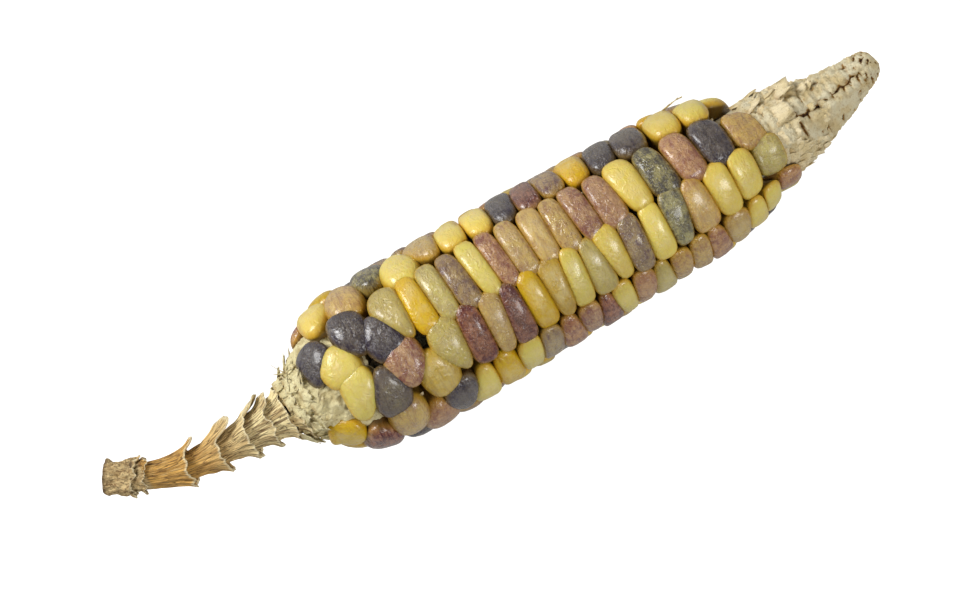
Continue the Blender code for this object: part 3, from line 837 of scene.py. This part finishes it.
def flakeTree(material):
    tree, size, result = newGeometryTree("flakes", flakeSizes)
    cube = addNode(tree, "GeometryNodeMeshCube", {"Size": (1, 2, 2), "Vertices Z": 2})
    join(tree, size["Columns"], cube.inputs["Vertices X"])
    join(tree, size["Rows"], cube.inputs["Vertices Y"])
    leaf = calcVector(tree, "ADD", tree.nodes.new("GeometryNodeInputPosition").outputs[0], (0.5, 0, 0))
    leaf = storeNamed(tree, cube.outputs["Mesh"], "leaf", leaf, "FLOAT_VECTOR")
    copies = addNode(tree, "GeometryNodeInstanceOnPoints", {"Points": size["Geometry"], "Instance": leaf})
    loose = addNode(tree, "GeometryNodeRealizeInstances", {"Geometry": copies.outputs["Instances"]})
    u, v, w = splitVector(tree, readNamed(tree, "leaf", "FLOAT_VECTOR"))
    seat = readNamed(tree, "seat", "FLOAT_VECTOR")
    seatX, seatTurn, seatRadius = splitVector(tree, seat)
    length, width, lift = splitVector(tree, readNamed(tree, "form", "FLOAT_VECTOR"))
    curl, cup, skew = splitVector(tree, readNamed(tree, "bend", "FLOAT_VECTOR"))
    own = calcVector(tree, "SCALE", seat, scale=3.7)

    def noiseAt(scale, vector, detail=2.0):  # between -1 and 1, and other on every flake
        where = calcVector(tree, "ADD", vector, own)
        noise = addValue(tree, "ShaderNodeTexNoise", {"Vector": where, "Scale": scale, "Detail": detail})
        return calc(tree, "MULTIPLY_ADD", noise, 2.0, -1.0)

    tornBy = noiseAt(2.6, makeVector(tree, 0.0, v, 0.0), 4.0)
    reach = u * calc(tree, "MULTIPLY_ADD", tornBy * size["Tear"], 1.6, 1.0)
    edge = noiseAt(2.2, makeVector(tree, u, calc(tree, "SIGN", v), 3.0), 3.0)
    narrow = 1.0 - size["Pinch"] * (u * u)
    broad = narrow * calc(tree, "MULTIPLY_ADD", edge, 0.3, 1.0)
    sideways = v * broad * (width * 0.5)
    sideways = sideways + skew * reach * length
    lift = calc(tree, "RADIANS", lift)
    ahead = reach * length * calc(tree, "COSINE", lift)
    rise = reach * abs(length) * calc(tree, "SINE", lift)
    rise = rise + reach * reach * curl
    rise = rise + v * v * cup
    crumple = noiseAt(1.7, makeVector(tree, u, v, 0.0)) * size["Crumple"]
    rise = rise + crumple * calc(tree, "MULTIPLY_ADD", u, 0.8, 0.2)
    thin = w * size["Thickness"] * calc(tree, "MULTIPLY_ADD", u, -0.3, 0.5)
    radius = seatRadius + rise + thin
    x = seatX + ahead
    angle = calc(tree, "RADIANS", seatTurn) + sideways / seatRadius
    moved = addNode(tree, "GeometryNodeSetPosition",
                    {"Geometry": loose.outputs[0], "Position": wrapAround(tree, x, angle, radius)})
    backward = calc(tree, "LESS_THAN", length, 0.0)  # a flake laid backward comes out inside out
    turned = addNode(tree, "GeometryNodeFlipFaces", {"Mesh": moved.outputs[0], "Selection": backward})
    dressed = addNode(tree, "GeometryNodeSetMaterial", {"Geometry": turned.outputs[0], "Material": material})
    tree.links.new(dressed.outputs[0], result)
    return tree


def strew(name, tree, flakes, sizes):  # flakes are (x, turn, radius, length, width, lift, curl, cup, skew)
    flakes = np.array(flakes, float)
    attributes = {"seat": ("FLOAT_VECTOR", flakes[:, 0:3]), "form": ("FLOAT_VECTOR", flakes[:, 3:6]),
                  "bend": ("FLOAT_VECTOR", flakes[:, 6:9])}
    piece = newPiece(name, [(0, 0, 0)] * len(flakes), attributes=attributes)
    print(f"{name}: flakes", len(flakes))
    return runTree(piece, tree, {**flakeSizes, **sizes})


chaff = {  # a form is the spans of a flake's length, width, lift, curl, cup and skew
    "seed": 4,
    "tipGlumes": 84, "tipFrom": 53.5, "tipTo": 66.0,
    "glumeForm": ((1.2, 2.6), (1.4, 2.8), (-2, 18), (-0.4, 0.2), (-0.3, 0.3), (-0.4, 0.4)),
    "skirt": 46, "skirtFrom": 50.5, "skirtTo": 57.0,
    "skirtForm": ((2.6, 4.6), (2.6, 4.4), (-6, 5), (-0.5, 0.2), (-0.2, 0.3), (-0.3, 0.3)),
    "scraps": 64, "scrapsFrom": -54.0, "scrapsTo": -49.0,
    "scrapForm": ((1.6, 3.6), (1.4, 4.2), (16, 66), (-0.8, 0.8), (-0.5, 0.5), (-0.8, 0.8)),
    "rowBits": 90, "bitsFrom": -40, "bitsTo": 50,
    "bitForm": ((0.5, 1.4), (0.4, 1.1), (-10, 45), (-0.4, 0.4), (-0.2, 0.2), (-0.8, 0.8)),
    "flap": (59.2, 54.0, 8.3, 4.6, 4.6, 6.0, 0.2, 0.8, -0.12),  # the one large glume that stands up
    "threads": [(38.6, 80.0, 15.0, 4.6, 0.16, 10.0, -0.5, 0.0, 0.35),
                (40.4, 84.0, 15.1, 3.6, 0.14, 16.0, -0.4, 0.0, -0.3)],
    "tuftAt": (-50.4, 60.0, 8.0), "tuftWays": (0.3, 1.1, 1.9, 2.7, 3.6, 4.4, 5.5),
}


def buildChaff(tree, greyTree):
    dice = random.Random(chaff["seed"])

    def draw(x, turn, radius, form):
        return x, turn, radius, *(dice.uniform(low, high) for low, high in form)

    glumes = []
    for _ in range(chaff["tipGlumes"]):
        x = chaff["tipFrom"] + (chaff["tipTo"] - chaff["tipFrom"]) * dice.random() ** 1.4
        turn = dice.uniform(0, 360)
        glumes.append(draw(x, turn, float(cobRadius(x)) + dice.uniform(0.3, 1.0), chaff["glumeForm"]))
    skirt = []
    for number in range(chaff["skirt"]):
        x = dice.uniform(chaff["skirtFrom"], chaff["skirtTo"])
        turn = 360 * number / chaff["skirt"] + dice.uniform(-6, 6)
        skirt.append(draw(x, turn, float(cobRadius(x)) + dice.uniform(0.3, 1.0), chaff["skirtForm"]))
    scraps = []
    for _ in range(chaff["scraps"]):
        x = dice.uniform(chaff["scrapsFrom"], chaff["scrapsTo"])
        scraps.append(draw(x, dice.uniform(0, 360), 5.9 + 0.72 * max(0, x + 53), chaff["scrapForm"]))
    bits = []
    turns = sorted(kernels["rows"])
    for _ in range(chaff["rowBits"]):
        number = dice.randrange(len(turns))
        near, far = turns[number], turns[(number + 1) % len(turns)] + (360 if number == len(turns) - 1 else 0)
        x = dice.uniform(chaff["bitsFrom"], chaff["bitsTo"])
        turn = (near + far) / 2 + dice.uniform(-3, 3)
        bits.append(draw(x, turn, 12.2 - 0.03 * x + dice.uniform(-0.6, 0.9), chaff["bitForm"]))
    tuft = []
    for way in chaff["tuftWays"]:
        length, lift, skew = 2.6 * math.cos(way), 30 + 18 * math.sin(way * 2.3), 1.1 * math.sin(way)
        tuft.append((*chaff["tuftAt"], length, 0.5, lift, 0.5, 0.0, skew))
    return [
        strew("tipGlumes", tree, [*glumes, chaff["flap"]], {"Crumple": 0.3}),
        strew("tipSkirt", tree, skirt, {"Crumple": 0.45}),
        strew("collarScraps", greyTree, scraps, {"Columns": 10, "Rows": 9, "Tear": 0.8, "Crumple": 0.8}),
        strew("rowBits", tree, bits, {"Columns": 4, "Rows": 3, "Crumple": 0.3}),
        strew("silk", tree, chaff["threads"],
              {"Columns": 18, "Rows": 2, "Crumple": 0.9, "Tear": 0.0, "Thickness": 0.14}),
        strew("tuft", greyTree, tuft, {"Columns": 7, "Rows": 3, "Crumple": 0.4, "Tear": 0.1, "Pinch": 0.95}),
    ]


collar = {
    "profile": [(-52.6, 5.2), (-51.5, 6.6), (-49.0, 8.6), (-46.0, 10.2), (-43.0, 11.3), (-39.0, 12.2),
                (-30.0, 12.8)],
    "columns": 260,
    "rows": 60,
    "edgeX": -36.0,
    "lateEdgeX": -33.0,  # it reaches further where a row begins late
    "lateTurn": -34.0,
    "lateWidth": 30.0,
    "raggedness": 1.3,
    "thickness": 0.16,
    "fold": 0.9, "foldSize": 6.0,
    "crinkle": 0.5, "crinkleSize": 2.3,
    "seed": 31,
}


def buildCollar(material):  # one crumpled sheet that hugs the butt under the first kernels
    turns = np.arange(collar["columns"]) * 360 / collar["columns"]
    angle = np.radians(turns)
    off = turnsFrom(collar["lateTurn"], turns)
    late = np.exp(-((off / collar["lateWidth"]) ** 2))
    reach = collar["edgeX"] + (collar["lateEdgeX"] - collar["edgeX"]) * late
    circle = np.stack([np.cos(angle), np.sin(angle), np.zeros_like(angle)], 1) * 9
    reach = reach + collar["raggedness"] * smoothNoise(circle, 5.0, collar["seed"], 4)
    shares = np.linspace(0, 1, collar["rows"])[:, None]
    firstX = collar["profile"][0][0]
    x = firstX + (reach - firstX) * shares
    radius = np.interp(x, *zip(*collar["profile"]))
    spots = np.stack([x, radius * np.cos(angle), radius * np.sin(angle)], -1).reshape(-1, 3)
    folds = abs(smoothNoise(spots, collar["foldSize"], collar["seed"] + 1, 2))
    crinkles = abs(smoothNoise(spots, collar["crinkleSize"], collar["seed"] + 2, 4))
    lift = 0.5 - (collar["fold"] * folds + collar["crinkle"] * crinkles).reshape(x.shape)
    lift = lift * np.clip(shares * 5, 0, 1)
    outer = place(x, np.broadcast_to(turns, x.shape), radius + lift)
    inner = place(x, np.broadcast_to(turns, x.shape), radius + lift - collar["thickness"])
    points = np.concatenate([outer, inner[::-1]]).reshape(-1, 3)
    rings, count = 2 * collar["rows"], collar["columns"]
    faces = []
    for ring in range(rings):
        faces += ringFaces(ring * count, (ring + 1) % rings * count, count)
    along = np.broadcast_to(shares, x.shape)
    leaf = np.stack([0.3 + 0.65 * along, np.zeros(x.shape), np.ones(x.shape)], -1)
    leaf = np.concatenate([leaf, leaf[::-1]]).reshape(-1, 3)
    return newSkinnedPiece("collar", points, faces, {"leaf": ("FLOAT_VECTOR", leaf)}, material)


# the shank, a stack of torn sheath bases

shank = {
    "internodes": [  # start x, start radius, edge x, edge radius, flap length, flap turn
        (-91.4, 3.3, -85.9, 4.0, 0.8, 100.0),
        (-86.8, 2.9, -84.2, 3.7, 0.7, 60.0),
        (-85.2, 2.7, -75.6, 4.2, 2.6, 80.0),
        (-77.6, 2.6, -68.6, 4.5, 4.0, 64.0),
        (-70.4, 2.8, -62.2, 4.9, 4.4, 85.0),
        (-64.0, 3.3, -57.6, 5.1, 1.6, 60.0),
        (-59.2, 3.9, -54.0, 5.7, 1.2, 95.0),
        (-55.4, 4.6, -51.4, 6.9, 0.8, 250.0),
    ],
    "end": [(-53.6, 5.0), (-50.3, 5.0)],
    "turns": 168,
    "outerRings": 26,
    "innerRings": 10,
    "wall": 0.35,
    "flapWidth": 30.0,
    "flapFlare": 0.22,
    "lip": 0.45,  # how far each torn edge turns out
    "tear": 0.2,
    "teeth": 0.55,
    "ribs": 0.16,
    "bark": 0.55,
}


def buildShank(material):
    count = shank["turns"]
    turns = np.arange(count) * 360 / count
    angle = np.radians(turns)
    rings, grain, inside, rim = [], [], [], []

    def addRing(x, radius, number, hollow, atRim):
        x = np.broadcast_to(np.asarray(x, float), turns.shape)
        rings.append(place(x, turns, np.broadcast_to(radius, turns.shape)))
        grain.append(np.stack([x * (4.5 if number < 2 else 1.0), angle * 4.0, np.full(count, number * 7.3)], 1))
        inside.append(np.full(count, hollow))
        rim.append(np.full(count, atRim))

    stem = shank["internodes"]
    for number, (start, radius, edge, edgeRadius, flap, flapTurn) in enumerate(stem):
        reach = np.exp(-((turnsFrom(flapTurn, turns) / shank["flapWidth"]) ** 4))
        torn = shank["tear"] * (np.sin(2 * angle + number * 1.7) + 0.6 * np.sin(5 * angle + number * 2.9))
        ragged = np.stack([np.cos(angle), np.sin(angle), np.full(count, number)], 1) * 4
        torn = torn + shank["teeth"] * smoothNoise(ragged, 2.3, 20 + number, 5)
        edgeX = edge + flap * reach + torn
        rimRadius = edgeRadius + shank["flapFlare"] * flap * reach
        bark = 1.0 if number < 2 else 0.0
        for share in np.linspace(0, 1, shank["outerRings"]):
            flare = share ** 2.3
            x = start + (edgeX - start) * share
            here = radius + (rimRadius - radius) * flare
            where = np.stack([x * 0.25, np.cos(angle) * 4, np.sin(angle) * 4], 1)
            rib = smoothNoise(where, 1.1, 40 + number, 2) * shank["ribs"] * np.clip(share * 3, 0.2, 1)
            rough = np.stack([x, np.cos(angle) * 4, np.sin(angle) * 4], 1)
            rib = rib + bark * shank["bark"] * (smoothNoise(rough, 3.6, 60 + number, 3) - 0.35)
            rib = rib + (1 - bark) * shank["lip"] * np.clip(share * 4 - 3, 0, 1) ** 2
            addRing(x, here + rib, number, 0.0, share)
        backX, backRadius = stem[number + 1][:2] if number + 1 < len(stem) else shank["end"][0]
        for share in np.linspace(0, 1, shank["innerRings"]):
            x = edgeX - 0.05 + (backX - edgeX) * share
            back = start + (edgeX - start) * np.clip((x - start) / (edgeX - start), 0, 1)
            wallRadius = radius + (rimRadius - radius) * np.clip((back - start) / (edgeX - start), 0, 1) ** 2.3
            wallRadius = wallRadius + (1 - bark) * shank["lip"] * np.clip(1 - share * 6, 0, 1)
            here = (wallRadius - shank["wall"]) * (1 - share ** 3) + backRadius * share ** 3
            addRing(x, here, number, 1.0, 1 - share)
    for x, radius in shank["end"][1:]:
        addRing(x, radius, len(stem), 1.0, 0.0)
    first = rings[0]
    middle = first.mean(0)
    for share in (0.7, 0.35, 0.02):
        ring = middle + (first - middle) * share
        bump = smoothNoise(ring / mm, 1.6, 77)[:, None] * np.array([0.3, 0, 0]) * mm
        rings.insert(0, ring + abs(bump))
        grain.insert(0, np.stack([np.full(count, -91.4) + share * 3, angle * 4.0, np.full(count, 0.0)], 1))
        # the cut end of the stub takes part of the painted inside shade
        inside.insert(0, np.full(count, 0.3))
        rim.insert(0, np.zeros(count))
    faces = []
    for row in range(len(rings) - 1):
        faces += ringFaces(row * count, (row + 1) * count, count)
    faces.append(tuple(range(count)))
    last = (len(rings) - 1) * count
    faces.append(tuple(last + side for side in reversed(range(count))))
    attributes = {"grain": ("FLOAT_VECTOR", np.concatenate(grain)), "inside": ("FLOAT", np.concatenate(inside)),
                  "rim": ("FLOAT", np.concatenate(rim))}
    return newSkinnedPiece("shankBody", np.concatenate(rings), faces, attributes, material)


settle(buildCobBody(cobSkin()), "cob")
paleChaff, greyChaff = paperSkin("chaffPaper"), paperSkin("collarPaper")
settle(buildCollar(greyChaff), "cob")
for chaffPiece in buildChaff(flakeTree(paleChaff), flakeTree(greyChaff)):
    settle(chaffPiece, "cob")
settle(buildShank(shankSkin()), "shank")


# floor, light and camera

studio = {"lookX": -10.1, "lookY": 0.55, "roll": 29.71, "width": 188.2, "distance": 1100.0,
          "floorSize": 1600.0, "floorGlow": 0.8, "sky": 0.32, "skySeen": 1.15,
          "softboxLeft": (7.4, 0.4, (-0.5, 0.66, 0.46)),  # power, size in metres and place in metres
          "softboxRight": (3.5, 0.3, (0.3, -0.42, 0.78)),
          "aim": (0, 0, 0.015), "sensor": 36.0}


def buildFloor():
    half = studio["floorSize"] * mm / 2
    corners = [(-half, -half, 0), (half, -half, 0), (half, half, 0), (-half, half, 0)]
    floor = newPiece("floor", corners, [(0, 1, 2, 3)])
    material, tree, shader = newMaterial("paleFloor", 0.8)
    shader.inputs["Base Color"].default_value = (0.6, 0.6, 0.6, 1)
    shader.inputs["Emission Color"].default_value = (1, 1, 1, 1)
    # white to look at, but throws little light up
    seen = addValue(tree, "ShaderNodeLightPath", output="Is Camera Ray")
    join(tree, seen * studio["floorGlow"], shader.inputs["Emission Strength"])
    floor.data.materials.append(material)


def addLight(name):
    power, size, spot = studio[name]
    light = bpy.data.lights.new(name, "AREA")
    light.shape = "DISK"
    light.size = size
    light.energy = power
    obj = bpy.data.objects.new(name, light)
    obj.location = spot
    obj.rotation_euler = (Vector(studio["aim"]) - Vector(spot)).to_track_quat("-Z", "Y").to_euler()
    bpy.context.scene.collection.objects.link(obj)


def buildStudio():
    buildFloor()
    world = bpy.data.worlds.new("studio")
    world.use_nodes = True
    tree = world.node_tree
    background = tree.nodes["Background"].inputs
    seen = addValue(tree, "ShaderNodeLightPath", output="Is Camera Ray")  # pale to look at, as the floor is
    strength = calc(tree, "MULTIPLY_ADD", seen, studio["skySeen"] - studio["sky"], studio["sky"])
    join(tree, strength, background["Strength"])
    background["Color"].default_value = (1, 0.97, 0.9, 1)
    bpy.context.scene.world = world
    addLight("softboxLeft")
    addLight("softboxRight")
    camera = bpy.data.cameras.new("camera")
    obj = bpy.data.objects.new("camera", camera)
    camera.sensor_width = studio["sensor"]
    camera.lens = studio["sensor"] * studio["distance"] / studio["width"]
    camera.clip_end = 10.0
    look = axisAt(studio["lookX"]) * mm + origin
    obj.location = (look[0], look[1] + studio["lookY"] * mm, look[2] + studio["distance"] * mm)
    obj.rotation_euler = (0, 0, -math.radians(studio["roll"]))
    bpy.context.scene.collection.objects.link(obj)
    bpy.context.scene.camera = obj
    bpy.context.scene.view_settings.view_transform = "Standard"
    print("studio: camera and lights are set")


buildStudio()
